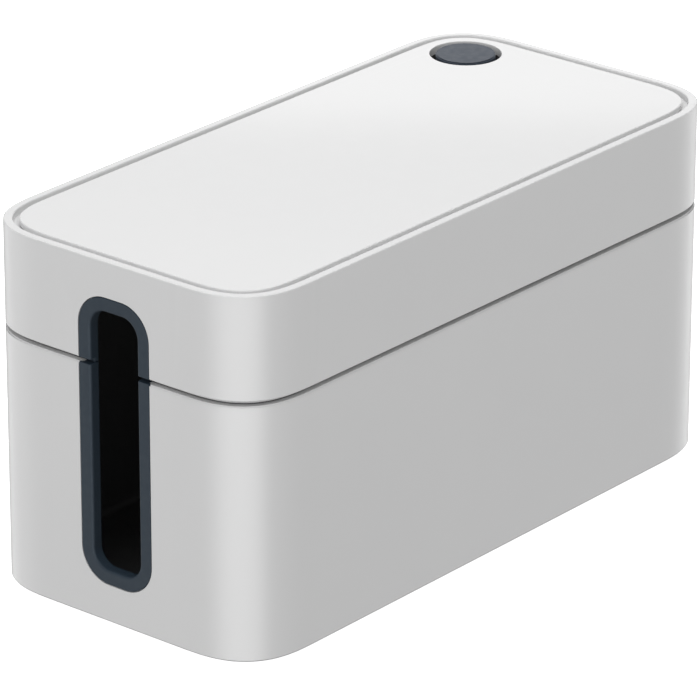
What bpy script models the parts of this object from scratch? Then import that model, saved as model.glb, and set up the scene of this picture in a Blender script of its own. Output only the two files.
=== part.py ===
"""Cable management box: a tub and a lift-off lid with a cable slot in each end and a round cable outlet.

Units are metres. +X runs along the box, +Y across it and +Z up. The origin is on the surface that the
box stands on, under its centre. The lid lifts off along +Z, and the outlet's plug pulls out of it along +Z.
"""

import math

import bmesh
import bpy

# Driving dimensions
LENGTH = 0.246
DEPTH = 0.1172
CORNER_REACH = 0.034
FOOT_STAND = 0.002
TOP = 0.1272
BASE_TOP = 0.0902
SEAM_GAP = 0.0018
LID_EDGE = BASE_TOP + SEAM_GAP
GAP = 0.0003

# Shells
WALL = 0.003
FLOOR = 0.003
BOTTOM_ROUNDING = 0.0005
FLOOR_FILLET = 0.002
LIP_INSET = 0.0024
LIP_BRIDGE = 0.0022
LIP_TOP = LID_EDGE + 0.0027
SKIRT_INSET = WALL + GAP
SKIRT_WALL = 0.0015
SKIRT_BOTTOM = BASE_TOP - 0.0063
SKIRT_TOP = LIP_TOP - 0.001
LIP_NOTCH = 0.0304
SKIRT_NOTCH = 0.040

# Top panel and the ledge that carries it
GROOVE = 0.0022
PANEL_INSET = WALL + GROOVE
PANEL_THICKNESS = 0.0021
PANEL_UNDERSIDE = TOP - PANEL_THICKNESS
LEDGE_TOP = PANEL_UNDERSIDE - GAP
LEDGE_THICKNESS = 0.002
LEDGE_INSET = 0.013
LOCATOR_INSET = LEDGE_INSET + GAP
LOCATOR_WALL = 0.0015
LOCATOR_DROP = 0.0025

# Cable outlet in the corner of the lid, with its plug and the plug's holder
OUTLET_X = 0.1013
OUTLET_Y = 0.0365
OUTLET_RADIUS = 0.0125
COLLAR_OUTER = 0.0131
COLLAR_DROP = 0.0022
PLUG_RADIUS = 0.0104
PLUG_HEAD = 0.0035
PLUG_EDGE = 0.0003
PLUG_NECK_RADIUS = 0.0042
PLUG_STEM_RADIUS = 0.0023
PLUG_STEM_END = TOP - 0.021
HOLDER_OUTER = 0.0147
HOLDER_INNER = 0.0134
HOLDER_RIM = 0.0012
HOLDER_FLOOR = TOP - 0.020
HOLDER_SPOKE = 0.0025
HOLDER_LEG_WIDTH = 0.003
HUB_RADIUS = 0.005
HUB_BORE = PLUG_STEM_RADIUS + GAP
HUB_LOW = TOP - 0.022
HUB_TOP = TOP - 0.014
LEG_ANGLES = (90, 210, 330)
LEDGE_CLEARANCE = HOLDER_OUTER + GAP
LOCATOR_CLEARANCE = 0.0156

# Cable slots and their soft trims: seen from outside, each slot stands a little to the right
SLOT_OFFSET = 0.0012
OPENING_WIDTH = 0.0200
OPENING_BOTTOM = 0.0202
OPENING_TOP = 0.1100
OPENING_RADIUS = 0.0065
WEB = 0.0036
FLANGE = 0.0048
FLANGE_PROUD = 0.0001
FLANGE_THICKNESS = 0.0011
INNER_FLANGE = 0.0046
INNER_FLANGE_THICKNESS = 0.0008

# Feet
FOOT_X = 0.102
FOOT_Y = 0.037
FOOT_RADIUS = 0.007
FOOT_SOCKET_DEPTH = 0.0012
FOOT_EDGE = 0.0005

CURVE_STEPS = 480
CORNER_SEGMENTS = 16
SLOT_SEGMENTS = 8
TURN_STEPS = 48
SMALL_STEPS = 24
MERGE_DISTANCE = 0.00001
BEYOND = 0.005
SMOOTH_ANGLE = math.radians(35)


def clear_scene():
    """Removes every object, so that the script starts from nothing."""
    for old in list(bpy.data.objects):
        bpy.data.objects.remove(old, do_unlink=True)


def new_collection(name):
    """A collection under the scene's own."""
    collection = bpy.data.collections.new(name)
    bpy.context.scene.collection.children.link(collection)
    return collection


def plastic(name, colour, roughness):
    """A material with one Principled shader."""
    material = bpy.data.materials.new(name)
    material.use_nodes = True
    shader = material.node_tree.nodes["Principled BSDF"]
    shader.inputs["Base Color"].default_value = (*colour, 1.0)
    shader.inputs["Roughness"].default_value = roughness
    shader.inputs["Metallic"].default_value = 0.0
    return material


clear_scene()
PARTS = new_collection("cable_management_box")
CUTTERS = new_collection("cutters")


def finish_mesh(bm, name):
    """Turns a bmesh into a smooth-shaded mesh that is sharp at its edges."""
    bmesh.ops.recalc_face_normals(bm, faces=bm.faces)
    mesh = bpy.data.meshes.new(name)
    bm.to_mesh(mesh)
    bm.free()
    mesh.shade_smooth()
    mesh.set_sharp_from_angle(angle=SMOOTH_ANGLE)
    return mesh


def part(name, mesh, material, location=(0, 0, 0)):
    """An object of the model."""
    made = bpy.data.objects.new(name, mesh)
    made.location = location
    PARTS.objects.link(made)
    made.data.materials.append(material)
    return made


def cutter(name, mesh, location=(0, 0, 0)):
    """A shape that only takes away from a part, or is joined to one."""
    made = bpy.data.objects.new(name, mesh)
    made.location = location
    made.hide_render = True
    made.display_type = "WIRE"
    CUTTERS.objects.link(made)
    return made


def boolean(target, tool, operation):
    """Cuts the tool out of the target, or joins it to the target."""
    modifier = target.modifiers.new(tool.name, "BOOLEAN")
    modifier.operation = operation
    modifier.solver = "EXACT"
    modifier.object = tool


def box_mesh(name, size, rounded_axis=None, radius=0.0, segments=1):
    """A box centred on its origin, with the edges along one axis rounded."""
    bm = bmesh.new()
    bmesh.ops.create_cube(bm, size=1.0)
    bmesh.ops.scale(bm, vec=size, verts=bm.verts)
    if rounded_axis is not None:
        along = [e for e in bm.edges if abs(e.verts[0].co[rounded_axis] - e.verts[1].co[rounded_axis]) > 0]
        bmesh.ops.bevel(bm, geom=along, offset=radius, segments=segments, profile=0.5, affect="EDGES")
    return finish_mesh(bm, name)


def ease(share):
    """A rise from 0 to 1 that starts and ends without slope or bend."""
    return share**3 * (share * (6 * share - 15) + 10)


def eased_corner():
    """The +X +Y corner in plan, with a curvature that grows from nothing and falls back to nothing.

    Each entry is a point and the direction out of the wall there, from the end wall to the long wall.
    """
    turns = [math.pi / 2 * ease(step / CURVE_STEPS) for step in range(CURVE_STEPS + 1)]
    path = [(0.0, 0.0)]
    for first, second in zip(turns, turns[1:]):
        middle = (first + second) / 2
        path.append((path[-1][0] - math.sin(middle), path[-1][1] + math.cos(middle)))
    scale = CORNER_REACH / path[-1][1]
    skip = CURVE_STEPS // CORNER_SEGMENTS
    return [
        ((LENGTH / 2 + x * scale, DEPTH / 2 - CORNER_REACH + y * scale), (math.cos(turn), math.sin(turn)))
        for (x, y), turn in list(zip(path, turns))[::skip]
    ]


def plan_outline(inset):
    """The box's outline in plan, drawn in by inset, counterclockwise as seen from above."""
    corner = [(x - out_x * inset, y - out_y * inset) for (x, y), (out_x, out_y) in eased_corner()]
    back_left = [(-x, y) for x, y in reversed(corner)]
    front_left = [(-x, -y) for x, y in corner]
    front_right = [(x, -y) for x, y in reversed(corner)]
    return corner + back_left + front_left + front_right


def outline_block(name, inset, low, high, bottom_rounding=0.0):
    """A solid block with the box's plan outline, drawn in by inset, between two heights."""
    half = (high - low) / 2
    bm = bmesh.new()
    outline = plan_outline(inset)
    lower = [bm.verts.new((x, y, -half)) for x, y in outline]
    upper = [bm.verts.new((x, y, half)) for x, y in outline]
    bottom = bm.faces.new(lower[::-1])
    bm.faces.new(upper)
    for number in range(len(outline)):
        bm.faces.new((lower[number - 1], lower[number], upper[number], upper[number - 1]))
    if bottom_rounding > 0:
        around = list(bottom.edges)
        bmesh.ops.bevel(bm, geom=around, offset=bottom_rounding, segments=3, profile=0.5, affect="EDGES")
    return finish_mesh(bm, name), (0, 0, (low + high) / 2)


def outline_ring(name, inset, thickness, low, high):
    """A cutter-side ring that follows the box's plan outline, between two insets and two heights."""
    half = (high - low) / 2
    bm = bmesh.new()
    section = [(inset, -half), (inset, half), (inset + thickness, half), (inset + thickness, -half)]
    rings = [[bm.verts.new((x, y, z)) for x, y in plan_outline(drawn_in)] for drawn_in, z in section]
    for side in range(len(rings)):
        first, second = rings[side - 1], rings[side]
        for number in range(len(first)):
            bm.faces.new((first[number - 1], first[number], second[number], second[number - 1]))
    return cutter(name, finish_mesh(bm, name), (0, 0, (low + high) / 2))


def cylinder_cutter(name, radius, low, high, location):
    """An upright cylinder between two heights."""
    bm = bmesh.new()
    bmesh.ops.create_cone(
        bm, cap_ends=True, segments=TURN_STEPS, radius1=radius, radius2=radius, depth=high - low
    )
    return cutter(name, finish_mesh(bm, name), (location[0], location[1], (low + high) / 2))


def box_cutter(name, low, high):
    """A plain box between two corners."""
    size = [b - a for a, b in zip(low, high)]
    centre = [(a + b) / 2 for a, b in zip(low, high)]
    return cutter(name, box_mesh(name, size), centre)


def slot_cutter(name, margin, x_low, x_high):
    """A block along X at one end, with the slot's outline, which is the trim's opening grown by margin."""
    width = OPENING_WIDTH + 2 * margin
    low = OPENING_BOTTOM - margin
    high = OPENING_TOP + margin
    size = (x_high - x_low, width, high - low)
    mesh = box_mesh(name, size, 0, OPENING_RADIUS + margin, SLOT_SEGMENTS)
    middle = (x_low + x_high) / 2
    return cutter(name, mesh, (middle, math.copysign(SLOT_OFFSET, middle), (low + high) / 2))


def turned(name, profile, steps, material, location):
    """A solid of revolution about Z. The profile starts and ends on the axis and runs down its outer side."""
    mesh = bpy.data.meshes.new(name)
    edges = [(i, i + 1) for i in range(len(profile) - 1)]
    mesh.from_pydata([(radius, 0, height) for radius, height in profile], edges, [])
    made = part(name, mesh, material, location)
    screw = made.modifiers.new("turn", "SCREW")
    screw.axis = "Z"
    screw.steps = steps
    screw.render_steps = steps
    screw.use_merge_vertices = True
    screw.merge_threshold = MERGE_DISTANCE
    screw.use_smooth_shade = True
    return made


def round_edge(radius, height, rounding, points=4):
    """The quarter circle from a turned piece's top face to its side."""
    steps = [math.radians(90 * i / points) for i in range(points + 1)]
    return [
        (radius - rounding + rounding * math.sin(a), height - rounding + rounding * math.cos(a)) for a in steps
    ]


SHELL = plastic("shell_plastic", (0.80, 0.80, 0.80), 0.32)
PANEL = plastic("panel_plastic", (0.83, 0.83, 0.83), 0.22)
SOFT_TRIM = plastic("soft_trim", (0.040, 0.051, 0.061), 0.50)
SOFT_PLUG = plastic("soft_plug", (0.060, 0.068, 0.082), 0.55)
HOLDER = plastic("holder_plastic", (0.020, 0.020, 0.022), 0.45)
FOOT_RUBBER = plastic("foot_rubber", (0.030, 0.030, 0.032), 0.80)


# Slots in the walls, shared by the tub and the lid
def cut_slots(shell):
    """Cuts both end walls for the trims: a way through, and a shallow seat for the outer flange."""
    outer_face = LENGTH / 2
    seat = outer_face + FLANGE_PROUD - FLANGE_THICKNESS - GAP
    for side, end in (("left", -1), ("right", 1)):
        through = sorted((end * (outer_face + BEYOND), end * (outer_face - WALL - BEYOND)))
        way = slot_cutter(f"{shell.name}_way_{side}", WEB + GAP, *through)
        boolean(shell, way, "DIFFERENCE")
        shallow = sorted((end * (outer_face + BEYOND), end * seat))
        recess = slot_cutter(f"{shell.name}_seat_{side}", FLANGE + GAP, *shallow)
        boolean(shell, recess, "DIFFERENCE")


FOOT_PLACES = {
    "foot_front_left": (-FOOT_X, -FOOT_Y),
    "foot_front_right": (FOOT_X, -FOOT_Y),
    "foot_back_left": (-FOOT_X, FOOT_Y),
    "foot_back_right": (FOOT_X, FOOT_Y),
}


def make_tub():
    """The lower shell: rounded walls and a floor, cut for the slots and for the feet's sockets."""
    mesh, location = outline_block("base_tub", 0, FOOT_STAND, BASE_TOP, BOTTOM_ROUNDING)
    tub = part("base_tub", mesh, SHELL, location)
    hollow, centre = outline_block("tub_hollow", WALL, FOOT_STAND + FLOOR, BASE_TOP + BEYOND, FLOOR_FILLET)
    boolean(tub, cutter("tub_hollow", hollow, centre), "DIFFERENCE")
    cut_slots(tub)
    for name, place in FOOT_PLACES.items():
        socket = cylinder_cutter(
            f"socket_{name}", FOOT_RADIUS + GAP, 0, FOOT_STAND + FOOT_SOCKET_DEPTH, place
        )
        boolean(tub, socket, "DIFFERENCE")


def make_feet():
    """Four soft discs, each seated in a socket under the tub."""
    height = FOOT_STAND + FOOT_SOCKET_DEPTH - GAP
    lower_edge = [(radius, height - z) for radius, z in reversed(round_edge(FOOT_RADIUS, height, FOOT_EDGE))]
    profile = [(0, height), (FOOT_RADIUS, height), *lower_edge, (0, 0)]
    for name, (x, y) in FOOT_PLACES.items():
        turned(name, profile, SMALL_STEPS, FOOT_RUBBER, (x, y, 0))


def notched_ring(name, inset, thickness, low, high, notch):
    """A ring of the lid, left out where the slot trims pass."""
    ring = outline_ring(name, inset, thickness, low, high)
    reach = LENGTH / 2 + BEYOND
    for side, end in (("left", -1), ("right", 1)):
        near, far = sorted((end * reach, end * (FOOT_X + BEYOND)))
        middle = end * SLOT_OFFSET
        corner = (near, middle - notch / 2, low - BEYOND)
        gap = box_cutter(f"{name}_notch_{side}", corner, (far, middle + notch / 2, high + BEYOND))
        boolean(ring, gap, "DIFFERENCE")
    return ring


def make_lid(parent):
    """The upper shell: an open frame with a ledge for the panel and a stepped lip that sits on the tub."""
    band = outline_ring("lid_band", 0, WALL, LID_EDGE, TOP)
    CUTTERS.objects.unlink(band)
    PARTS.objects.link(band)
    band.hide_render = False
    band.display_type = "TEXTURED"
    band.name = "lid_shell"
    band.data.materials.append(SHELL)
    band.parent = parent
    band.matrix_parent_inverse = parent.matrix_world.inverted()
    overlap = 0.001
    ledge = outline_ring(
        "ledge", WALL - overlap, LEDGE_INSET - WALL + overlap, LEDGE_TOP - LEDGE_THICKNESS, LEDGE_TOP
    )
    lip = notched_ring("lip", LIP_INSET, LIP_BRIDGE, BASE_TOP + GAP, LIP_TOP, LIP_NOTCH)
    skirt = notched_ring("skirt", SKIRT_INSET, SKIRT_WALL, SKIRT_BOTTOM, SKIRT_TOP, SKIRT_NOTCH)
    boolean(band, ledge, "UNION")
    boolean(band, lip, "UNION")
    boolean(band, skirt, "UNION")
    outlet = (OUTLET_X, OUTLET_Y)
    way = cylinder_cutter("outlet_way", LEDGE_CLEARANCE, HUB_TOP, TOP + BEYOND, outlet)
    boolean(band, way, "DIFFERENCE")
    cut_slots(band)


def make_panel(parent):
    """The inset top panel: a locating rim fits inside the ledge, and a collar lines the outlet's hole."""
    mesh, location = outline_block("lid_top_panel", PANEL_INSET, PANEL_UNDERSIDE, TOP)
    panel = part("lid_top_panel", mesh, PANEL, location)
    panel.parent = parent
    panel.matrix_parent_inverse = parent.matrix_world.inverted()
    middle = (PANEL_UNDERSIDE + TOP) / 2
    rim = outline_ring(
        "locating_rim", LOCATOR_INSET, LOCATOR_WALL, PANEL_UNDERSIDE - LOCATOR_DROP, middle
    )
    outlet = (OUTLET_X, OUTLET_Y)
    clearance = cylinder_cutter("rim_clearance", LOCATOR_CLEARANCE, HUB_TOP, TOP + BEYOND, outlet)
    boolean(rim, clearance, "DIFFERENCE")
    boolean(panel, rim, "UNION")
    collar = cylinder_cutter("outlet_collar", COLLAR_OUTER, PANEL_UNDERSIDE - COLLAR_DROP, middle, outlet)
    boolean(panel, collar, "UNION")
    hole = cylinder_cutter("outlet_hole", OUTLET_RADIUS, HUB_TOP, TOP + BEYOND, outlet)
    boolean(panel, hole, "DIFFERENCE")


def make_plug(parent):
    """The soft plug: a disc that fills most of the outlet, on a neck and a stem that stands in the hub."""
    under = TOP - PLUG_HEAD
    shoulder = HUB_TOP + GAP
    profile = [
        (0, TOP),
        *round_edge(PLUG_RADIUS, TOP, PLUG_EDGE),
        (PLUG_RADIUS, under),
        (PLUG_NECK_RADIUS, under),
        (PLUG_NECK_RADIUS, shoulder),
        (PLUG_STEM_RADIUS, shoulder),
        (PLUG_STEM_RADIUS, PLUG_STEM_END),
        (0, PLUG_STEM_END),
    ]
    local = [(radius, height - TOP) for radius, height in profile]
    plug = turned("cable_outlet_plug", local, TURN_STEPS, SOFT_PLUG, (OUTLET_X, OUTLET_Y, TOP))
    plug.parent = parent
    plug.matrix_parent_inverse = parent.matrix_world.inverted()


def holder_arm(name, size, offset, height, angle):
    """A box of the holder, standing off from the hub's axis in one direction."""
    arm = cutter(name, box_mesh(name, size))
    turn = math.radians(angle)
    arm.location = (
        OUTLET_X + offset * math.cos(turn),
        OUTLET_Y + offset * math.sin(turn),
        height,
    )
    arm.rotation_euler.z = turn
    return arm


def make_holder(parent):
    """The open basket under the panel: a rim, three legs and three spokes that carry the plug's hub."""
    rim_top = LEDGE_TOP
    rim_low = rim_top - HOLDER_RIM
    bm = bmesh.new()
    bmesh.ops.create_cone(
        bm, cap_ends=True, segments=TURN_STEPS, radius1=HOLDER_OUTER, radius2=HOLDER_OUTER, depth=HOLDER_RIM
    )
    centre = (OUTLET_X, OUTLET_Y, (rim_low + rim_top) / 2)
    holder = part("plug_holder", finish_mesh(bm, "plug_holder"), HOLDER, centre)
    holder.parent = parent
    holder.matrix_parent_inverse = parent.matrix_world.inverted()
    outlet = (OUTLET_X, OUTLET_Y)
    inside = cylinder_cutter("holder_inside", HOLDER_INNER, rim_low - BEYOND, rim_top + BEYOND, outlet)
    boolean(holder, inside, "DIFFERENCE")
    leg_low = HOLDER_FLOOR
    leg_high = rim_top - HOLDER_RIM / 2
    leg_radius = (HOLDER_OUTER - GAP + HOLDER_INNER) / 2
    leg_depth = HOLDER_OUTER - GAP - HOLDER_INNER
    spoke_inner = (HUB_RADIUS + HUB_BORE) / 2
    spoke_length = leg_radius - spoke_inner
    hub = cylinder_cutter("hub", HUB_RADIUS, HUB_LOW, HUB_TOP, outlet)
    for number, angle in enumerate(LEG_ANGLES, 1):
        leg_size = (leg_depth, HOLDER_LEG_WIDTH, leg_high - leg_low)
        leg = holder_arm(f"leg_{number}", leg_size, leg_radius, (leg_low + leg_high) / 2, angle)
        spoke_size = (spoke_length, HOLDER_LEG_WIDTH - GAP, HOLDER_SPOKE)
        spoke_height = HOLDER_FLOOR + GAP + HOLDER_SPOKE / 2
        spoke = holder_arm(
            f"spoke_{number}", spoke_size, spoke_inner + spoke_length / 2, spoke_height, angle
        )
        boolean(holder, leg, "UNION")
        boolean(holder, spoke, "UNION")
    boolean(holder, hub, "UNION")
    bore = cylinder_cutter("hub_bore", HUB_BORE, HUB_LOW - BEYOND, HUB_TOP + BEYOND, outlet)
    boolean(holder, bore, "DIFFERENCE")


def trim_body(name):
    """A whole slot trim at the left end: an outer flange, a web through the wall and an inner flange."""
    outer_face = -LENGTH / 2
    front = outer_face - FLANGE_PROUD
    inner_face = outer_face + WALL + GAP
    back = inner_face + INNER_FLANGE_THICKNESS
    inside_edge = (inner_face + back) / 2
    outside_edge = front + FLANGE_THICKNESS / 2
    web = slot_cutter(f"{name}_web", WEB, outside_edge, inside_edge)
    flange = slot_cutter(f"{name}_flange", FLANGE, front, front + FLANGE_THICKNESS)
    inner = slot_cutter(f"{name}_inner", INNER_FLANGE, inner_face, back)
    opening = slot_cutter(f"{name}_opening", 0, front - BEYOND, back + BEYOND)
    boolean(flange, web, "UNION")
    boolean(flange, inner, "UNION")
    boolean(flange, opening, "DIFFERENCE")
    return flange


def settled_mesh(source, name):
    """The mesh of an object with its modifiers applied, in the box's own frame."""
    bpy.context.view_layer.update()
    depsgraph = bpy.context.evaluated_depsgraph_get()
    mesh = bpy.data.meshes.new_from_object(source.evaluated_get(depsgraph))
    mesh.name = name
    mesh.transform(source.matrix_world)
    return mesh


def make_trims(name, cut_away, parent):
    """A pair of equal trims, one in each end wall, made of a whole trim less what is cut away."""
    body = trim_body(name)
    for number, (low, high) in enumerate(cut_away, 1):
        boolean(body, box_cutter(f"{name}_end_{number}", low, high), "DIFFERENCE")
    mesh = settled_mesh(body, name)
    for side, turn in (("left", 0), ("right", math.pi)):
        trim = part(f"{name}_{side}", mesh.copy(), SOFT_TRIM)
        trim.rotation_euler.z = turn
        if parent is not None:
            trim.parent = parent
            trim.matrix_parent_inverse = parent.matrix_world.inverted()


def main():
    """Builds the box, closed."""
    lid_axis = bpy.data.objects.new("lid_lift_axis", None)
    lid_axis.location = (0, 0, LID_EDGE)
    PARTS.objects.link(lid_axis)
    bpy.context.view_layer.update()

    make_tub()
    make_feet()
    make_lid(lid_axis)
    make_panel(lid_axis)
    make_plug(lid_axis)
    make_holder(lid_axis)

    far_out = -LENGTH / 2 - BEYOND
    far_in = -LENGTH / 2 + WALL + 2 * BEYOND
    wide = OPENING_WIDTH
    above = ((far_out, -wide, BASE_TOP), (far_in, wide, TOP))
    make_trims("base_slot_trim", [above], None)
    below = ((far_out, -wide, 0), (far_in, wide, BASE_TOP + GAP))
    step = ((far_out, -wide, 0), (-LENGTH / 2 + LIP_INSET, wide, LID_EDGE))
    make_trims("lid_slot_trim", [below, step], lid_axis)


main()
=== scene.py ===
"""Looks of a cable management box: a tub, a lift-off lid, soft slot trims and a soft outlet plug.

Units are metres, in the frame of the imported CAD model: +X along the box, +Y across it, +Z up.
"""

import math

import bmesh
import bpy
from mathutils import Matrix, Vector


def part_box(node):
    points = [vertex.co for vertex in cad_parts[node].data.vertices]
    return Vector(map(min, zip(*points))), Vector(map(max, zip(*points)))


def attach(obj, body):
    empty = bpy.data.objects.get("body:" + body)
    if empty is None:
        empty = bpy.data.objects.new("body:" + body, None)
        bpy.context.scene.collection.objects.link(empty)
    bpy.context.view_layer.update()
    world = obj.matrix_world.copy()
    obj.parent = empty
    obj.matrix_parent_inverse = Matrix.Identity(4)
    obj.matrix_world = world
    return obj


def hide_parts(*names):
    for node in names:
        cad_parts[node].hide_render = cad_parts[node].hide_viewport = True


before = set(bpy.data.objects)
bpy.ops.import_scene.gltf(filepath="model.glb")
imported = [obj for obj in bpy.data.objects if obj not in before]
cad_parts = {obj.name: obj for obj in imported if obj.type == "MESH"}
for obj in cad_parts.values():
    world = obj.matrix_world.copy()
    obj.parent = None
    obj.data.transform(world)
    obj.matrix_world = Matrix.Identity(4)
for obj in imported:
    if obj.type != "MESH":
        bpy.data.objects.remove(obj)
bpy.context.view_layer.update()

# Sizes read from the frame
TUB_LOW, TUB_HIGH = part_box("base_tub")
LID_LOW, LID_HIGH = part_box("lid_shell")
PANEL_LOW, PANEL_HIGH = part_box("lid_top_panel")
TRIM_LOW, TRIM_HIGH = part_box("base_slot_trim_left")
LID_TRIM_LOW, LID_TRIM_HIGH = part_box("lid_slot_trim_left")
PLUG_LOW, PLUG_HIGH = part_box("cable_outlet_plug")

HALF_LENGTH = TUB_HIGH.x
HALF_DEPTH = TUB_HIGH.y
UNDERSIDE = TUB_LOW.z
TUB_TOP = TUB_HIGH.z
TOP = LID_HIGH.z
OUTLET = (PLUG_LOW + PLUG_HIGH) / 2

# Shell details
MM = 0.001
CORNER_REACH = 34.0 * MM
WALL = 3.0 * MM
FLOOR = 3.0 * MM
GAP = 0.3 * MM
SEAM_GAP = 1.8 * MM
LID_EDGE = TUB_TOP + SEAM_GAP
LIP_INSET = 2.4 * MM
SKIRT_INSET = WALL + GAP
SKIRT_INNER = 4.8 * MM
LIP_TOP = LID_EDGE + 2.7 * MM
LIP_SLOPE = 0.8 * MM
FLOOR_START = 8.0 * MM
TUB_EDGE = 0.4 * MM
PANEL_INSET = HALF_LENGTH - PANEL_HIGH.x
PANEL_THICKNESS = 2.1 * MM
PANEL_UNDERSIDE = TOP - PANEL_THICKNESS
LEDGE_TOP = PANEL_UNDERSIDE - GAP
LEDGE_THICKNESS = 2.0 * MM
LEDGE_INNER = 13.0 * MM
PANEL_RIM = 1.5 * MM
OUTLET_RADIUS = 12.5 * MM
HOLDER_WAY = 15.0 * MM
COLLAR_OUTER = 13.1 * MM
COLLAR_DROP = 2.2 * MM
# The outlet hole's wall below this height takes the near-black painted shade of the inside
COLLAR_SHADE = PANEL_UNDERSIDE - 0.8 * MM
RIM_CLEARANCE = 15.6 * MM
HUB_TOP = TOP - 14.0 * MM

# Plug and feet details
HEAD_THICKNESS = 3.5 * MM
NECK_RADIUS = 4.2 * MM
STEM_RADIUS = 2.3 * MM
GROOVE_SHARES = (0.72, 0.68, 0.55, 0.51)
GROOVE_DEPTH = 0.25 * MM

# How finely curves are drawn, and how far the cutting tools pass the faces they open
CORNER_STEPS = 30
CURVE_STEPS = 600
SLOT_STEPS = 15
EDGE_STEPS = 4
TURN_STEPS = 128
SUPPORT = 0.15 * MM
SMOOTH_ANGLE = math.radians(31)
TOOL_REACH = 5.0 * MM
OVERSHOOT = 2.0 * MM
UNDERSHOOT = 1.0 * MM

# Slot details
OPENING_HALF = 10.0 * MM
OPENING_RADIUS = 6.5 * MM
FLANGE = 4.8 * MM
OPENING_BOTTOM = TRIM_LOW.z + FLANGE
OPENING_TOP = LID_TRIM_HIGH.z - FLANGE
SLOT_OFFSET = -(TRIM_LOW.y + TRIM_HIGH.y) / 2
FLANGE_PROUD = -HALF_LENGTH - TRIM_LOW.x
TRIM_DEPTH = TRIM_HIGH.x + HALF_LENGTH
SEAT_DEPTH = 1.3 * MM
SEAT_GAP = 0.25 * MM
WEB = 3.6 * MM
INNER_FLANGE = 4.6 * MM
TRIM_STEP_HALF = 30.0 * MM
LIP_NOTCH = 15.2 * MM
SKIRT_NOTCH = 20.0 * MM
NOTCH_REACH = 12.0 * MM
NOTCH_RISE = 3.0 * MM

# The camera, in degrees and metres from the middle of the tub's underside, and its lens in millimetres
CAMERA_AZIMUTH = -50.264
CAMERA_ELEVATION = 22.768
CAMERA_ROLL = 0.091
CAMERA_DISTANCE = 1.860606
CAMERA_AIM_RIGHT = -0.003129
CAMERA_AIM_UP = 0.051807
CAMERA_LENS = 283.23
SENSOR_WIDTH = 36.0
CLIP_END = 50.0


def compass(azimuth, elevation):
    """The direction out from the box at an azimuth and an elevation in degrees, with -Y at azimuth 0."""
    a, e = math.radians(azimuth), math.radians(elevation)
    return Vector((math.sin(a) * math.cos(e), -math.cos(a) * math.cos(e), math.sin(e)))


def make_camera():
    """The camera, on the left of the box's front and above it, with a long lens."""
    roll = math.radians(CAMERA_ROLL)
    back = compass(CAMERA_AZIMUTH, CAMERA_ELEVATION)
    level_right = Vector((0, 0, 1)).cross(back).normalized()
    level_up = back.cross(level_right)
    right = level_right * math.cos(roll) + level_up * math.sin(roll)
    up = back.cross(right)
    data = bpy.data.cameras.new("camera")
    data.lens = CAMERA_LENS
    data.sensor_width = SENSOR_WIDTH
    data.clip_end = CLIP_END
    camera = bpy.data.objects.new("camera", data)
    bpy.context.scene.collection.objects.link(camera)
    aim = Vector((0, 0, UNDERSIDE)) + level_right * CAMERA_AIM_RIGHT + level_up * CAMERA_AIM_UP
    camera.location = aim + back * CAMERA_DISTANCE
    camera.rotation_mode = "QUATERNION"
    camera.rotation_quaternion = Matrix((right, up, back)).transposed().to_quaternion()
    bpy.context.scene.camera = camera


make_camera()


# Mesh tools
def finished(bm, name, materials):
    """A bmesh as a shown object, smooth but for its sharp edges."""
    bmesh.ops.recalc_face_normals(bm, faces=bm.faces)
    mesh = bpy.data.meshes.new(name)
    bm.to_mesh(mesh)
    bm.free()
    mesh.shade_smooth()
    mesh.set_sharp_from_angle(angle=SMOOTH_ANGLE)
    made = bpy.data.objects.new(name, mesh)
    bpy.context.scene.collection.objects.link(made)
    for material in materials:
        mesh.materials.append(material)
    return made


def filleted(corners, closed):
    """A polyline with arcs at its corners. Each corner is (u, v, radius)."""
    count = len(corners)
    line = []
    for i, (u, v, radius) in enumerate(corners):
        here = Vector((u, v))
        inside = closed or 0 < i < count - 1
        if radius <= 0 or not inside:
            line.append((u, v))
            continue
        before = Vector(corners[i - 1][:2]) - here
        after = Vector(corners[(i + 1) % count][:2]) - here
        room = min(before.length, after.length)
        before.normalize()
        after.normalize()
        half = before.angle(after) / 2
        reach = radius / math.tan(half)
        support = min(SUPPORT, max(0.0, (room - reach) / 3))
        centre = here + (before + after).normalized() * (radius / math.sin(half))
        start = here + before * reach - centre
        sweep = math.pi - 2 * half
        if start.x * after.y - start.y * after.x < 0:
            sweep = -sweep
        line.append(tuple(here + before * (reach + support)))
        for k in range(EDGE_STEPS + 1):
            turn = sweep * k / EDGE_STEPS
            c, s = math.cos(turn), math.sin(turn)
            line.append((centre.x + start.x * c - start.y * s, centre.y + start.x * s + start.y * c))
        line.append(tuple(here + after * (reach + support)))
    return line


def eased_corner(reach):
    """Points and outward directions round one corner whose curvature builds up and dies away smoothly.

    The corner starts on +X and ends on +Y, and takes up reach along both walls.
    """
    turns = [math.pi / 2 * ease(k / CURVE_STEPS) for k in range(CURVE_STEPS + 1)]
    points = [Vector((0.0, 0.0))]
    for first, second in zip(turns, turns[1:]):
        middle = (first + second) / 2
        points.append(points[-1] + Vector((-math.sin(middle), math.cos(middle))))
    scale = reach / points[-1].y
    skip = CURVE_STEPS // CORNER_STEPS
    return [
        (point * scale - Vector((0.0, reach)), Vector((math.cos(turn), math.sin(turn))))
        for point, turn in list(zip(points, turns))[::skip]
    ]


def ease(share):
    """A share from 0 to 1 with a soft start and a soft end."""
    return share * share * share * (share * (6 * share - 15) + 10)


CORNER = eased_corner(CORNER_REACH)


def plan_outline(inset):
    """The box's plan outline drawn in by inset, as points that match from one inset to the next."""
    points = []
    for quadrant in range(4):
        half = (HALF_LENGTH, HALF_DEPTH) if quadrant % 2 == 0 else (HALF_DEPTH, HALF_LENGTH)
        for point, out in CORNER:
            x, y = Vector(half) + point - out * inset
            for _ in range(quadrant):
                x, y = -y, x
            points.append((x, y))
    return points


INNER_FACE = plan_outline(WALL - 0.1 * MM)


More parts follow.
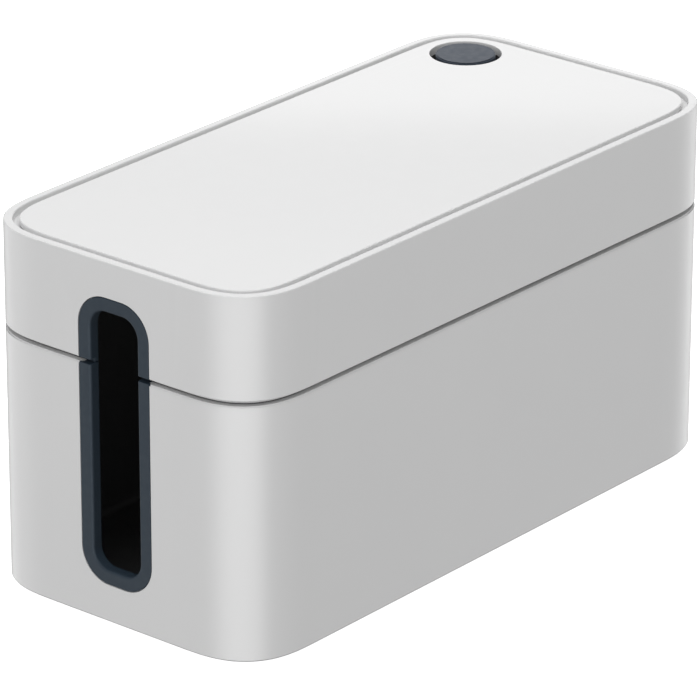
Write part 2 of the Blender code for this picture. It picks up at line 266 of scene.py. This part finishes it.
def within_shell(point):
    """True if a point lies inside the shell's inner face or within 0.1 mm of it."""
    pairs = zip(INNER_FACE, INNER_FACE[1:] + INNER_FACE[:1])
    return all((x1 - x0) * (point.y - y0) >= (y1 - y0) * (point.x - x0) for (x0, y0), (x1, y1) in pairs)


def loft(rings, closed):
    """Quads between rings of points that match, as a bmesh: joined end to end if closed, or else capped."""
    bm = bmesh.new()
    made = [[bm.verts.new(p) for p in ring] for ring in rings]
    pairs = list(zip(made, made[1:]))
    if closed:
        pairs.append((made[-1], made[0]))
    size = len(rings[0])
    for low, high in pairs:
        for j in range(size):
            k = (j + 1) % size
            bm.faces.new((low[j], low[k], high[k], high[j]))
    if not closed:
        bm.faces.new(list(reversed(made[0])))
        bm.faces.new(made[-1])
    return bm


def plan_loft(profile, closed):
    """A profile of (inset, height) points swept round the box's plan outline."""
    rings = [[(x, y, z) for x, y in plan_outline(inset)] for inset, z in profile]
    return loft(rings, closed)


def turned(profile, centre, steps=TURN_STEPS):
    """A solid of revolution. The profile of (radius, height) starts and ends on the axis."""
    bm = bmesh.new()
    rings = []
    for radius, height in profile:
        if radius <= 0:
            rings.append([bm.verts.new((centre.x, centre.y, height))])
            continue
        ring = []
        for k in range(steps):
            turn = math.tau * k / steps
            x = centre.x + radius * math.cos(turn)
            y = centre.y + radius * math.sin(turn)
            ring.append(bm.verts.new((x, y, height)))
        rings.append(ring)
    for upper, lower in zip(rings, rings[1:]):
        for j in range(steps):
            k = (j + 1) % steps
            above = [upper[i % len(upper)] for i in (j, k)]
            below = [lower[i % len(lower)] for i in (k, j)]
            bm.faces.new(list(dict.fromkeys(above + below)))
    return bm


def slot_stations(side, straight_end):
    """Points and outward directions along a slot's opening, round its bottom or its top.

    They start and end on the straight sides, at the height straight_end.
    """
    if side == "bottom":
        hand = -1
        first_angle = 180
        centre_z = OPENING_BOTTOM + OPENING_RADIUS
    else:
        hand = 1
        first_angle = 0
        centre_z = OPENING_TOP - OPENING_RADIUS
    stations = [((hand * OPENING_HALF, straight_end), (hand, 0))]
    for centre_y, angle in ((hand, first_angle), (-hand, first_angle + 90)):
        centre_y *= OPENING_HALF - OPENING_RADIUS
        for k in range(SLOT_STEPS + 1):
            turn = math.radians(angle + 90 * k / SLOT_STEPS)
            out = (math.cos(turn), math.sin(turn))
            stations.append(((centre_y + OPENING_RADIUS * out[0], centre_z + OPENING_RADIUS * out[1]), out))
    stations.append(((-hand * OPENING_HALF, straight_end), (-hand, 0)))
    return stations


def slot_point(station, out_by, x):
    """A point at a distance out from the opening's outline, at the end of the box where x is."""
    (y, z), (ny, nz) = station
    return (x, math.copysign(SLOT_OFFSET, x) + y + ny * out_by, z + nz * out_by)


def temporary(bm, name):
    """A bmesh as a tool object that isn't shown and is removed after use."""
    tool = finished(bm, name, [])
    tool.hide_render = True
    return tool


def block(low, high, name):
    """A plain box as a cutting tool."""
    bm = bmesh.new()
    bmesh.ops.create_cube(bm, size=1.0)
    size = [b - a for a, b in zip(low, high)]
    bmesh.ops.scale(bm, vec=size, verts=bm.verts)
    bmesh.ops.translate(bm, vec=[(a + b) / 2 for a, b in zip(low, high)], verts=bm.verts)
    return temporary(bm, name)


def slot_block(out_by, near, far, name):
    """A solid with the slot's whole outline, grown by out_by, between two places along X."""
    middle = (OPENING_BOTTOM + OPENING_TOP) / 2
    outline = slot_stations("bottom", middle)[1:-1] + slot_stations("top", middle)[1:-1]
    rings = [[slot_point(station, out_by, x) for station in outline] for x in (near, far)]
    return temporary(loft(rings, closed=False), name)


def apply_cuts(target, tools, joined=()):
    """Cuts the tools out of the target for good, or adds those in joined, and removes the tools."""
    for tool in tools:
        cut = target.modifiers.new(tool.name, "BOOLEAN")
        cut.operation = "UNION" if tool in joined else "DIFFERENCE"
        cut.solver = "EXACT"
        cut.object = tool
    bpy.context.view_layer.update()
    depsgraph = bpy.context.evaluated_depsgraph_get()
    mesh = bpy.data.meshes.new_from_object(target.evaluated_get(depsgraph))
    target.modifiers.clear()
    target.data = mesh
    for tool in tools:
        bpy.data.objects.remove(tool)
    mesh.set_sharp_from_angle(angle=SMOOTH_ANGLE)


def even_normals(target):
    """Normals weighted by face area, so that flat faces stay flat beside their rounded edges."""
    weighted = target.modifiers.new("weighted", "WEIGHTED_NORMAL")
    weighted.keep_sharp = True
    weighted.weight = 50


def both_ends(build):
    """What build makes for the left end and for the right end."""
    return [piece for end in (-1, 1) for piece in build(end)]


# Materials
def material(name):
    """A node material, its node tree and its shader."""
    made = bpy.data.materials.new(name)
    made.use_nodes = True
    return made, made.node_tree, made.node_tree.nodes["Principled BSDF"]


def noise(tree, scale, detail, coordinates):
    """A noise texture over the object's own coordinates."""
    node = tree.nodes.new("ShaderNodeTexNoise")
    node.inputs["Scale"].default_value = scale
    node.inputs["Detail"].default_value = detail
    tree.links.new(coordinates, node.inputs["Vector"])
    return node.outputs["Fac"]


def mapped(tree, value, low, high, from_low=0.3, from_high=0.7):
    """A value spread over a range. The defaults suit a noise texture, which rarely leaves 0.3 to 0.7."""
    node = tree.nodes.new("ShaderNodeMapRange")
    node.inputs["From Min"].default_value = from_low
    node.inputs["From Max"].default_value = from_high
    node.inputs["To Min"].default_value = low
    node.inputs["To Max"].default_value = high
    tree.links.new(value, node.inputs["Value"])
    return node.outputs["Result"]


def blended(tree, share, first, second):
    """Two colours mixed by a share."""
    node = tree.nodes.new("ShaderNodeMix")
    node.data_type = "RGBA"
    tree.links.new(share, node.inputs["Factor"])
    for socket, colour in ((node.inputs[6], first), (node.inputs[7], second)):
        if isinstance(colour, tuple):
            socket.default_value = (*colour, 1.0)
        else:
            tree.links.new(colour, socket)
    return node.outputs[2]


def bumped(tree, height, strength, distance, before=None):
    """A bump from a height."""
    node = tree.nodes.new("ShaderNodeBump")
    node.inputs["Strength"].default_value = strength
    node.inputs["Distance"].default_value = distance
    tree.links.new(height, node.inputs["Height"])
    if before is not None:
        tree.links.new(before, node.inputs["Normal"])
    return node.outputs["Normal"]


FLOW_SCALE = 14.0
GLOSS_SCALE = 160.0
WAVE_SCALE = 45.0
WAVE_DEPTH = 0.04 * MM
PLASTIC_IOR = 1.48
BLOOM_SCALE = 60.0
RUBBER_GLOSS_SCALE = 400.0
PEBBLE_SCALE = 5200.0
PEBBLE_DEPTH = 0.02 * MM
RUBBER_IOR = 1.40


def plastic(name, colour, tint, roughness, grain_scale, grain_depth):
    """Moulded plastic: a fine grain, faint marks in colour and gloss, and slightly paler edges."""
    made, tree, shader = material(name)
    place = tree.nodes.new("ShaderNodeTexCoord").outputs["Object"]
    flow = noise(tree, FLOW_SCALE, 3.0, place)
    mottle = noise(tree, GLOSS_SCALE, 2.0, place)
    varied = blended(tree, mapped(tree, flow, 0.0, 1.0), colour, tint)
    geometry = tree.nodes.new("ShaderNodeNewGeometry")
    edge = mapped(tree, geometry.outputs["Pointiness"], 0.0, 0.35, 0.53, 0.60)
    pale = tuple(min(1.0, c * 1.04 + 0.01) for c in colour)
    tree.links.new(blended(tree, edge, varied, pale), shader.inputs["Base Color"])
    tree.links.new(mapped(tree, mottle, roughness - 0.03, roughness + 0.03), shader.inputs["Roughness"])
    grain = bumped(tree, noise(tree, grain_scale, 2.0, place), 0.35, grain_depth)
    wave = bumped(tree, noise(tree, WAVE_SCALE, 1.0, place), 0.15, WAVE_DEPTH, grain)
    tree.links.new(wave, shader.inputs["Normal"])
    shader.inputs["IOR"].default_value = PLASTIC_IOR
    return made


def soft_rubber(name, colour, tint, roughness):
    """Soft moulded elastomer: matt, with a fine pebble grain and a slight bloom."""
    made, tree, shader = material(name)
    place = tree.nodes.new("ShaderNodeTexCoord").outputs["Object"]
    bloom = noise(tree, BLOOM_SCALE, 4.0, place)
    tree.links.new(blended(tree, mapped(tree, bloom, 0.0, 1.0), colour, tint), shader.inputs["Base Color"])
    mottle = noise(tree, RUBBER_GLOSS_SCALE, 2.0, place)
    tree.links.new(mapped(tree, mottle, roughness - 0.05, roughness + 0.05), shader.inputs["Roughness"])
    grain = bumped(tree, noise(tree, PEBBLE_SCALE, 2.0, place), 0.3, PEBBLE_DEPTH)
    tree.links.new(grain, shader.inputs["Normal"])
    shader.inputs["IOR"].default_value = RUBBER_IOR
    return made


SHELL = plastic("shell_plastic", (0.700, 0.700, 0.700), (0.690, 0.690, 0.692), 0.24, 3800.0, 0.00001)
PANEL = plastic("panel_plastic", (0.720, 0.720, 0.720), (0.712, 0.712, 0.714), 0.20, 3800.0, 0.000008)
# Near-black painted shade for the inside faces of the white shells and the panel's underside, where the
# closed box lies in shadow
INSIDE_PAINTED_SHADE = plastic("inner_painted_shade", (0.075, 0.075, 0.077), (0.068, 0.068, 0.070), 0.55, 2600.0, 0.00002)
# Greyer painted shade for the tub's rim top, which lies in shadow in the seam under the lid
RIM_PAINTED_SHADE = plastic("rim_painted_shade", (0.560, 0.560, 0.560), (0.550, 0.550, 0.552), 0.40, 3800.0, 0.00001)
HOLDER = plastic("holder_plastic", (0.018, 0.018, 0.020), (0.022, 0.022, 0.024), 0.45, 2600.0, 0.00002)
TRIM = soft_rubber("soft_trim", (0.017, 0.029, 0.043), (0.019, 0.031, 0.045), 0.62)
PLUG = soft_rubber("soft_plug", (0.045, 0.056, 0.075), (0.049, 0.060, 0.079), 0.50)
FOOT = soft_rubber("foot_rubber", (0.030, 0.030, 0.032), (0.036, 0.036, 0.038), 0.75)


# Which faces on the tub's rim top take the painted seam shade
SHADED_RIM_LEAST_UP = math.cos(math.radians(55))
SHADED_RIM_BAND = 0.3 * MM


def paint_inside_shade(target, is_inside):
    """Gives the faces of the inside the second material, a near-black painted shade for the dark inside of
    the closed box, and the others the first.
    """
    for face in target.data.polygons:
        face.material_index = 1 if is_inside(face.center) else 0


def paint_rim_shade(target):
    """Gives the tub's upper rim and the top of its rounded edge the third material, a greyer painted shade
    for the shadow in the seam under the lid.
    """
    for face in target.data.polygons:
        if face.normal.z > SHADED_RIM_LEAST_UP and abs(face.center.z - TUB_TOP) < SHADED_RIM_BAND:
            face.material_index = 2


# Pieces
def slot_cuts(name, end):
    """The tools that open a slot at one end: the way through and the flange's shallow seat."""
    face = end * HALF_LENGTH
    way = sorted((face + end * TOOL_REACH, face - end * (WALL + OVERSHOOT)))
    seat = sorted((face + end * TOOL_REACH, face - end * SEAT_DEPTH))
    return [
        slot_block(WEB + GAP, *way, f"{name}_way_{end}"),
        slot_block(FLANGE + SEAT_GAP, *seat, f"{name}_seat_{end}"),
    ]


def make_tub():
    """The lower shell, with a rounded foot edge, a softened rim and a filleted floor."""
    floor_top = UNDERSIDE + FLOOR
    profile = filleted(
        [
            (FLOOR_START, UNDERSIDE, 0),
            (0.0, UNDERSIDE, TUB_EDGE),
            (0.0, TUB_TOP, TUB_EDGE),
            (WALL, TUB_TOP, 0.25 * MM),
            (WALL, floor_top, 2.0 * MM),
            (FLOOR_START, floor_top, 0),
        ],
        closed=False,
    )
    tub = finished(plan_loft(profile, closed=False), "tub_shell", [SHELL, INSIDE_PAINTED_SHADE, RIM_PAINTED_SHADE])
    tools = both_ends(lambda end: slot_cuts("tub", end))
    apply_cuts(tub, tools)
    # Painted shade: the tub's inside faces go near-black
    paint_inside_shade(tub, lambda c: within_shell(c) and floor_top - GAP < c.z < TUB_TOP - TUB_EDGE)
    # Painted shade: the rim top in the seam goes greyer
    paint_rim_shade(tub)
    even_normals(tub)
    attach(tub, "tub")
    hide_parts("base_tub")


def make_lid():
    """The upper shell: a rim round a shadow groove, the panel's ledge, and a stepped lip and skirt below."""
    under_ledge = LEDGE_TOP - LEDGE_THICKNESS
    profile = filleted(
        [
            (0.0, TOP, 0.18 * MM),
            (WALL, TOP, 0.12 * MM),
            (WALL, LEDGE_TOP, 0.2 * MM),
            (LEDGE_INNER, LEDGE_TOP, 0.3 * MM),
            (LEDGE_INNER, under_ledge, 0.3 * MM),
            (WALL, under_ledge, 0.8 * MM),
            (WALL, LIP_TOP, 0.3 * MM),
            (SKIRT_INNER, LIP_TOP - LIP_SLOPE, 0.3 * MM),
            (SKIRT_INNER, LID_LOW.z, 0.3 * MM),
            (SKIRT_INSET, LID_LOW.z, 0.3 * MM),
            (SKIRT_INSET, TUB_TOP + GAP, 0),
            (LIP_INSET, TUB_TOP + GAP, 0.15 * MM),
            (LIP_INSET, LID_EDGE, 0.1 * MM),
            (0.0, LID_EDGE, 0.1 * MM),
        ],
        closed=True,
    )
    lid = finished(plan_loft(profile, closed=True), "lid_frame", [SHELL, INSIDE_PAINTED_SHADE])
    tools = both_ends(lambda end: slot_cuts("lid", end) + lid_notches(end))
    above = TOP + TOOL_REACH
    bore = [(0, above), (HOLDER_WAY, above), (HOLDER_WAY, HUB_TOP), (0, HUB_TOP)]
    tools.append(temporary(turned(bore, OUTLET), "outlet_way"))
    apply_cuts(lid, tools)
    # Painted shade: the lid's inside faces go near-black
    paint_inside_shade(lid, lambda c: within_shell(c) and c.z < LEDGE_TOP - GAP)
    even_normals(lid)
    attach(lid, "lid")
    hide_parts("lid_shell")


def lid_notches(end):
    """The tools that cut the lip and the skirt away beside a slot."""
    inner = end * (HALF_LENGTH - NOTCH_REACH)
    middle = end * SLOT_OFFSET
    bottom = TUB_TOP - NOTCH_REACH
    top = LIP_TOP + NOTCH_RISE
    notches = (
        (HALF_LENGTH + OVERSHOOT, LIP_NOTCH, bottom, LID_EDGE - 0.02 * MM),
        (HALF_LENGTH - WALL, LIP_NOTCH, LID_EDGE - 0.1 * MM, top),
        (HALF_LENGTH - SKIRT_INSET + 0.1 * MM, SKIRT_NOTCH, bottom, top),
    )
    made = []
    for number, (outer, half, low, high) in enumerate(notches):
        near, far = sorted((inner, end * outer))
        corners = (near, middle - half, low), (far, middle + half, high)
        made.append(block(*corners, f"notch_{number}_{end}"))
    return made


def in_outlet(point):
    """True if a point lies on the upper wall of the outlet's hole."""
    away = math.hypot(point.x - OUTLET.x, point.y - OUTLET.y)
    return away < OUTLET_RADIUS + 0.2 * MM and point.z > COLLAR_SHADE


def make_panel():
    """The flush top panel, with softened edges, a locating rim underneath and a rounded outlet hole."""
    rim_outer = LEDGE_INNER + GAP
    rim_inner = rim_outer + PANEL_RIM
    profile = filleted(
        [
            (rim_inner, PANEL_UNDERSIDE, 0),
            (rim_inner, PANEL_LOW.z, 0.2 * MM),
            (rim_outer, PANEL_LOW.z, 0.2 * MM),
            (rim_outer, PANEL_UNDERSIDE, 0.2 * MM),
            (PANEL_INSET, PANEL_UNDERSIDE, 0.15 * MM),
            (PANEL_INSET, TOP, 0.2 * MM),
            (PANEL_INSET + OVERSHOOT, TOP, 0),
        ],
        closed=False,
    )
    panel = finished(plan_loft(profile, closed=False), "lid_panel", [PANEL, INSIDE_PAINTED_SHADE])
    above = TOP + OVERSHOOT
    below = PANEL_LOW.z - UNDERSHOOT
    relief = [(0, PANEL_UNDERSIDE), (RIM_CLEARANCE, PANEL_UNDERSIDE), (RIM_CLEARANCE, below), (0, below)]
    hole = filleted(
        [
            (0, above, 0),
            (OUTLET_RADIUS + OVERSHOOT, above, 0),
            (OUTLET_RADIUS + OVERSHOOT, TOP, 0),
            (OUTLET_RADIUS, TOP, 0.25 * MM),
            (OUTLET_RADIUS, COLLAR_SHADE, 0),
            (OUTLET_RADIUS, below, 0),
            (0, below, 0),
        ],
        closed=False,
    )
    collar_top = TOP - PANEL_THICKNESS / 2
    collar_end = PANEL_UNDERSIDE - COLLAR_DROP
    collar = [(0, collar_top), (COLLAR_OUTER, collar_top), (COLLAR_OUTER, collar_end), (0, collar_end)]
    relief_tool = temporary(turned(relief, OUTLET), "outlet_relief")
    collar_tool = temporary(turned(collar, OUTLET), "outlet_collar")
    hole_tool = temporary(turned(hole, OUTLET), "outlet_hole")
    apply_cuts(panel, [relief_tool, collar_tool, hole_tool], joined=(collar_tool,))
    # Painted shade: the panel's underside and the hole's lower wall go near-black
    paint_inside_shade(panel, lambda c: c.z < PANEL_UNDERSIDE + 0.05 * MM and not in_outlet(c))
    even_normals(panel)
    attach(panel, "lid")
    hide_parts("lid_top_panel")


def trim_profile(end):
    """The trim's section as (distance out from the opening, place along X)."""
    face = end * HALF_LENGTH
    outside = face + end * FLANGE_PROUD
    flange_back = face - end * (SEAT_DEPTH - 0.05 * MM)
    inner_front = face - end * (WALL + 0.1 * MM)
    inside = face - end * TRIM_DEPTH
    corners = [
        (FLANGE, outside, 0.25 * MM),
        (FLANGE, flange_back, 0),
        (WEB, flange_back, 0),
        (WEB, inner_front, 0),
        (INNER_FLANGE, inner_front, 0.2 * MM),
        (INNER_FLANGE, inside, 0.3 * MM),
        (0.0, inside, 0.3 * MM),
        (0.0, outside, 0.9 * MM),
    ]
    return filleted(corners, closed=True)


def make_trim(name, side, end, body, node):
    """One half of a slot's soft trim, swept round the slot's bottom or top and split at the seam."""
    split = TRIM_HIGH.z if side == "bottom" else LID_TRIM_LOW.z
    stations = slot_stations(side, split)
    profile = trim_profile(end)
    rings = [[slot_point(station, out_by, x) for out_by, x in profile] for station in stations]
    bm = loft(rings, closed=False)
    if side == "bottom":
        cap_edges = [e for e in bm.edges if all(abs(v.co.z - split) < 1e-7 for v in e.verts)]
        bmesh.ops.bevel(bm, geom=cap_edges, offset=0.2 * MM, segments=3, profile=0.5, affect="EDGES")
    trim = finished(bm, name, [TRIM])
    if side == "top":
        face = end * HALF_LENGTH
        near, far = sorted((face + end * TOOL_REACH, face - end * LIP_INSET))
        step = block((near, -TRIM_STEP_HALF, 0), (far, TRIM_STEP_HALF, LID_EDGE), f"{name}_step")
        apply_cuts(trim, [step])
    even_normals(trim)
    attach(trim, body)
    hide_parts(node)


def make_trims():
    """The four halves of the two slots' trims."""
    for side_name, end in (("left", -1), ("right", 1)):
        make_trim(f"base_trim_{side_name}", "bottom", end, "tub", f"base_slot_trim_{side_name}")
        make_trim(f"lid_trim_{side_name}", "top", end, "lid", f"lid_slot_trim_{side_name}")


def make_plug():
    """The soft outlet plug: a rounded head on a neck and a stem."""
    radius = (PLUG_HIGH.x - PLUG_LOW.x) / 2
    head = PLUG_HIGH.z
    under = head - HEAD_THICKNESS
    shoulder = HUB_TOP + GAP
    profile = filleted(
        [
            (0, head, 0),
            (radius, head, 0.3 * MM),
            (radius, under, 0.3 * MM),
            (NECK_RADIUS, under, 0.5 * MM),
            (NECK_RADIUS, shoulder, 0.3 * MM),
            (STEM_RADIUS, shoulder, 0),
            (STEM_RADIUS, PLUG_LOW.z, 0.4 * MM),
            (0, PLUG_LOW.z, 0),
        ],
        closed=False,
    )
    plug = finished(turned(profile, OUTLET), "outlet_plug", [PLUG])
    even_normals(plug)
    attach(plug, "plug")
    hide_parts("cable_outlet_plug")


def make_feet():
    """Four soft feet with rounded lower edges and a shallow ring moulded in the sole."""
    for corner in ("front_left", "front_right", "back_left", "back_right"):
        low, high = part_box(f"foot_{corner}")
        centre = (low + high) / 2
        radius = (high.x - low.x) / 2
        groove = [radius * share for share in GROOVE_SHARES]
        profile = filleted(
            [
                (0, high.z, 0),
                (radius, high.z, 0.1 * MM),
                (radius, low.z, 0.6 * MM),
                (groove[0], low.z, 0.1 * MM),
                (groove[1], low.z + GROOVE_DEPTH, 0.1 * MM),
                (groove[2], low.z + GROOVE_DEPTH, 0.1 * MM),
                (groove[3], low.z, 0.1 * MM),
                (0, low.z, 0),
            ],
            closed=False,
        )
        foot = finished(turned(profile, centre, TURN_STEPS // 2), f"sole_{corner}", [FOOT])
        even_normals(foot)
        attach(foot, "tub")
        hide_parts(f"foot_{corner}")


def dress_holder():
    """The CAD holder keeps its shape and takes a finished material."""
    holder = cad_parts["plug_holder"]
    holder.data.materials.clear()
    holder.data.materials.append(HOLDER)
    even_normals(holder)


make_tub()
make_lid()
make_panel()
make_trims()
make_plug()
make_feet()
dress_holder()


# Studio
FLOOR_GLOW = 0.86
FLOOR_COLOUR = (0.9, 0.9, 0.9, 1.0)
FLOOR_SIZE = 60.0
FLOOR_DROP = 0.1 * MM
WORLD_LIGHT = 0.53


def make_floor():
    """A plain white floor, seen by the camera and left out of the box's own lighting."""
    made, _, shader = material("floor_white")
    shader.inputs["Base Color"].default_value = FLOOR_COLOUR
    shader.inputs["Roughness"].default_value = 1.0
    shader.inputs["Specular IOR Level"].default_value = 0.0
    shader.inputs["Emission Color"].default_value = (1.0, 1.0, 1.0, 1.0)
    shader.inputs["Emission Strength"].default_value = FLOOR_GLOW
    bpy.ops.mesh.primitive_plane_add(size=FLOOR_SIZE, location=(0, 0, -FLOOR_DROP))
    floor = bpy.context.object
    floor.name = "floor"
    floor.data.materials.append(made)
    floor.visible_diffuse = False
    floor.visible_glossy = False
    floor.visible_shadow = False


def make_world():
    """An even white studio."""
    world = bpy.data.worlds.new("studio")
    world.use_nodes = True
    background = world.node_tree.nodes["Background"]
    background.inputs["Color"].default_value = (1.0, 1.0, 1.0, 1.0)
    background.inputs["Strength"].default_value = WORLD_LIGHT
    bpy.context.scene.world = world


def make_area(name, azimuth, elevation, distance, size, power):
    """A soft area light that faces the box and doesn't show in gloss."""
    data = bpy.data.lights.new(name, "AREA")
    data.shape = "DISK"
    data.size = size
    data.energy = power
    light = bpy.data.objects.new(name, data)
    bpy.context.scene.collection.objects.link(light)
    towards = compass(azimuth, elevation)
    light.location = towards * distance
    light.rotation_mode = "QUATERNION"
    light.rotation_quaternion = towards.to_track_quat("Z", "Y")
    light.visible_glossy = False


def fade_across(tree, place, share):
    """Falls from 1 in the middle of a card to 0 at two opposite edges, over a share of its half width."""
    away = tree.nodes.new("ShaderNodeMath")
    away.operation = "PINGPONG"
    away.inputs[1].default_value = 0.5
    tree.links.new(place, away.inputs[0])
    ramp = tree.nodes.new("ShaderNodeMapRange")
    ramp.interpolation_type = "SMOOTHERSTEP"
    ramp.inputs["From Max"].default_value = 0.5 * share
    tree.links.new(away.outputs["Value"], ramp.inputs["Value"])
    return ramp.outputs["Result"]


def make_card(name, towards, distance, size, strength, soft):
    """A glowing card that shows only in gloss and fades out towards its edges.

    The fade takes up the shares in soft of the card's half width and half height.
    """
    made = bpy.data.materials.new(name)
    made.use_nodes = True
    tree = made.node_tree
    tree.nodes.clear()
    output = tree.nodes.new("ShaderNodeOutputMaterial")
    split = tree.nodes.new("ShaderNodeSeparateXYZ")
    tree.links.new(tree.nodes.new("ShaderNodeTexCoord").outputs["Generated"], split.inputs["Vector"])
    faded = tree.nodes.new("ShaderNodeMath")
    faded.operation = "MULTIPLY"
    tree.links.new(fade_across(tree, split.outputs["X"], soft[0]), faded.inputs[0])
    tree.links.new(fade_across(tree, split.outputs["Y"], soft[1]), faded.inputs[1])
    scaled = tree.nodes.new("ShaderNodeMath")
    scaled.operation = "MULTIPLY"
    scaled.inputs[1].default_value = strength
    tree.links.new(faded.outputs["Value"], scaled.inputs[0])
    glow = tree.nodes.new("ShaderNodeEmission")
    tree.links.new(scaled.outputs["Value"], glow.inputs["Strength"])
    added = tree.nodes.new("ShaderNodeAddShader")
    tree.links.new(glow.outputs["Emission"], added.inputs[0])
    tree.links.new(tree.nodes.new("ShaderNodeBsdfTransparent").outputs["BSDF"], added.inputs[1])
    tree.links.new(added.outputs["Shader"], output.inputs["Surface"])
    bpy.ops.mesh.primitive_plane_add(size=1.0)
    card = bpy.context.object
    card.name = name
    card.scale = (size[0], size[1], 1.0)
    card.location = towards * distance
    card.rotation_mode = "QUATERNION"
    card.rotation_quaternion = towards.to_track_quat("Z", "Y")
    card.data.materials.append(made)
    card.visible_camera = False
    card.visible_diffuse = False
    card.visible_shadow = False
    card.visible_transmission = False


make_floor()
make_world()
make_area("overhead", azimuth=-50.0, elevation=80.0, distance=1.6, size=1.4, power=14.9)
make_area("front", azimuth=-50.0, elevation=25.0, distance=1.8, size=1.2, power=3.8)
make_area("left", azimuth=-90.0, elevation=30.0, distance=1.8, size=1.2, power=3.9)
make_card("front_card", compass(-57.3, -21.0), 3.0, size=(9.1, 2.8), strength=3.2, soft=(1.0, 0.8))
make_card("left_card", compass(-168.0, -21.0), 3.0, size=(4.8, 2.8), strength=1.15, soft=(0.7, 0.8))
make_card("right_card", compass(82.0, -21.0), 3.0, size=(4.0, 2.8), strength=1.35, soft=(1.0, 0.8))
make_card("near_card", compass(129.7, 42.0), 0.22, size=(0.9, 0.06), strength=0.72, soft=(0.3, 0.1))
bpy.context.scene.view_settings.view_transform = "Standard"
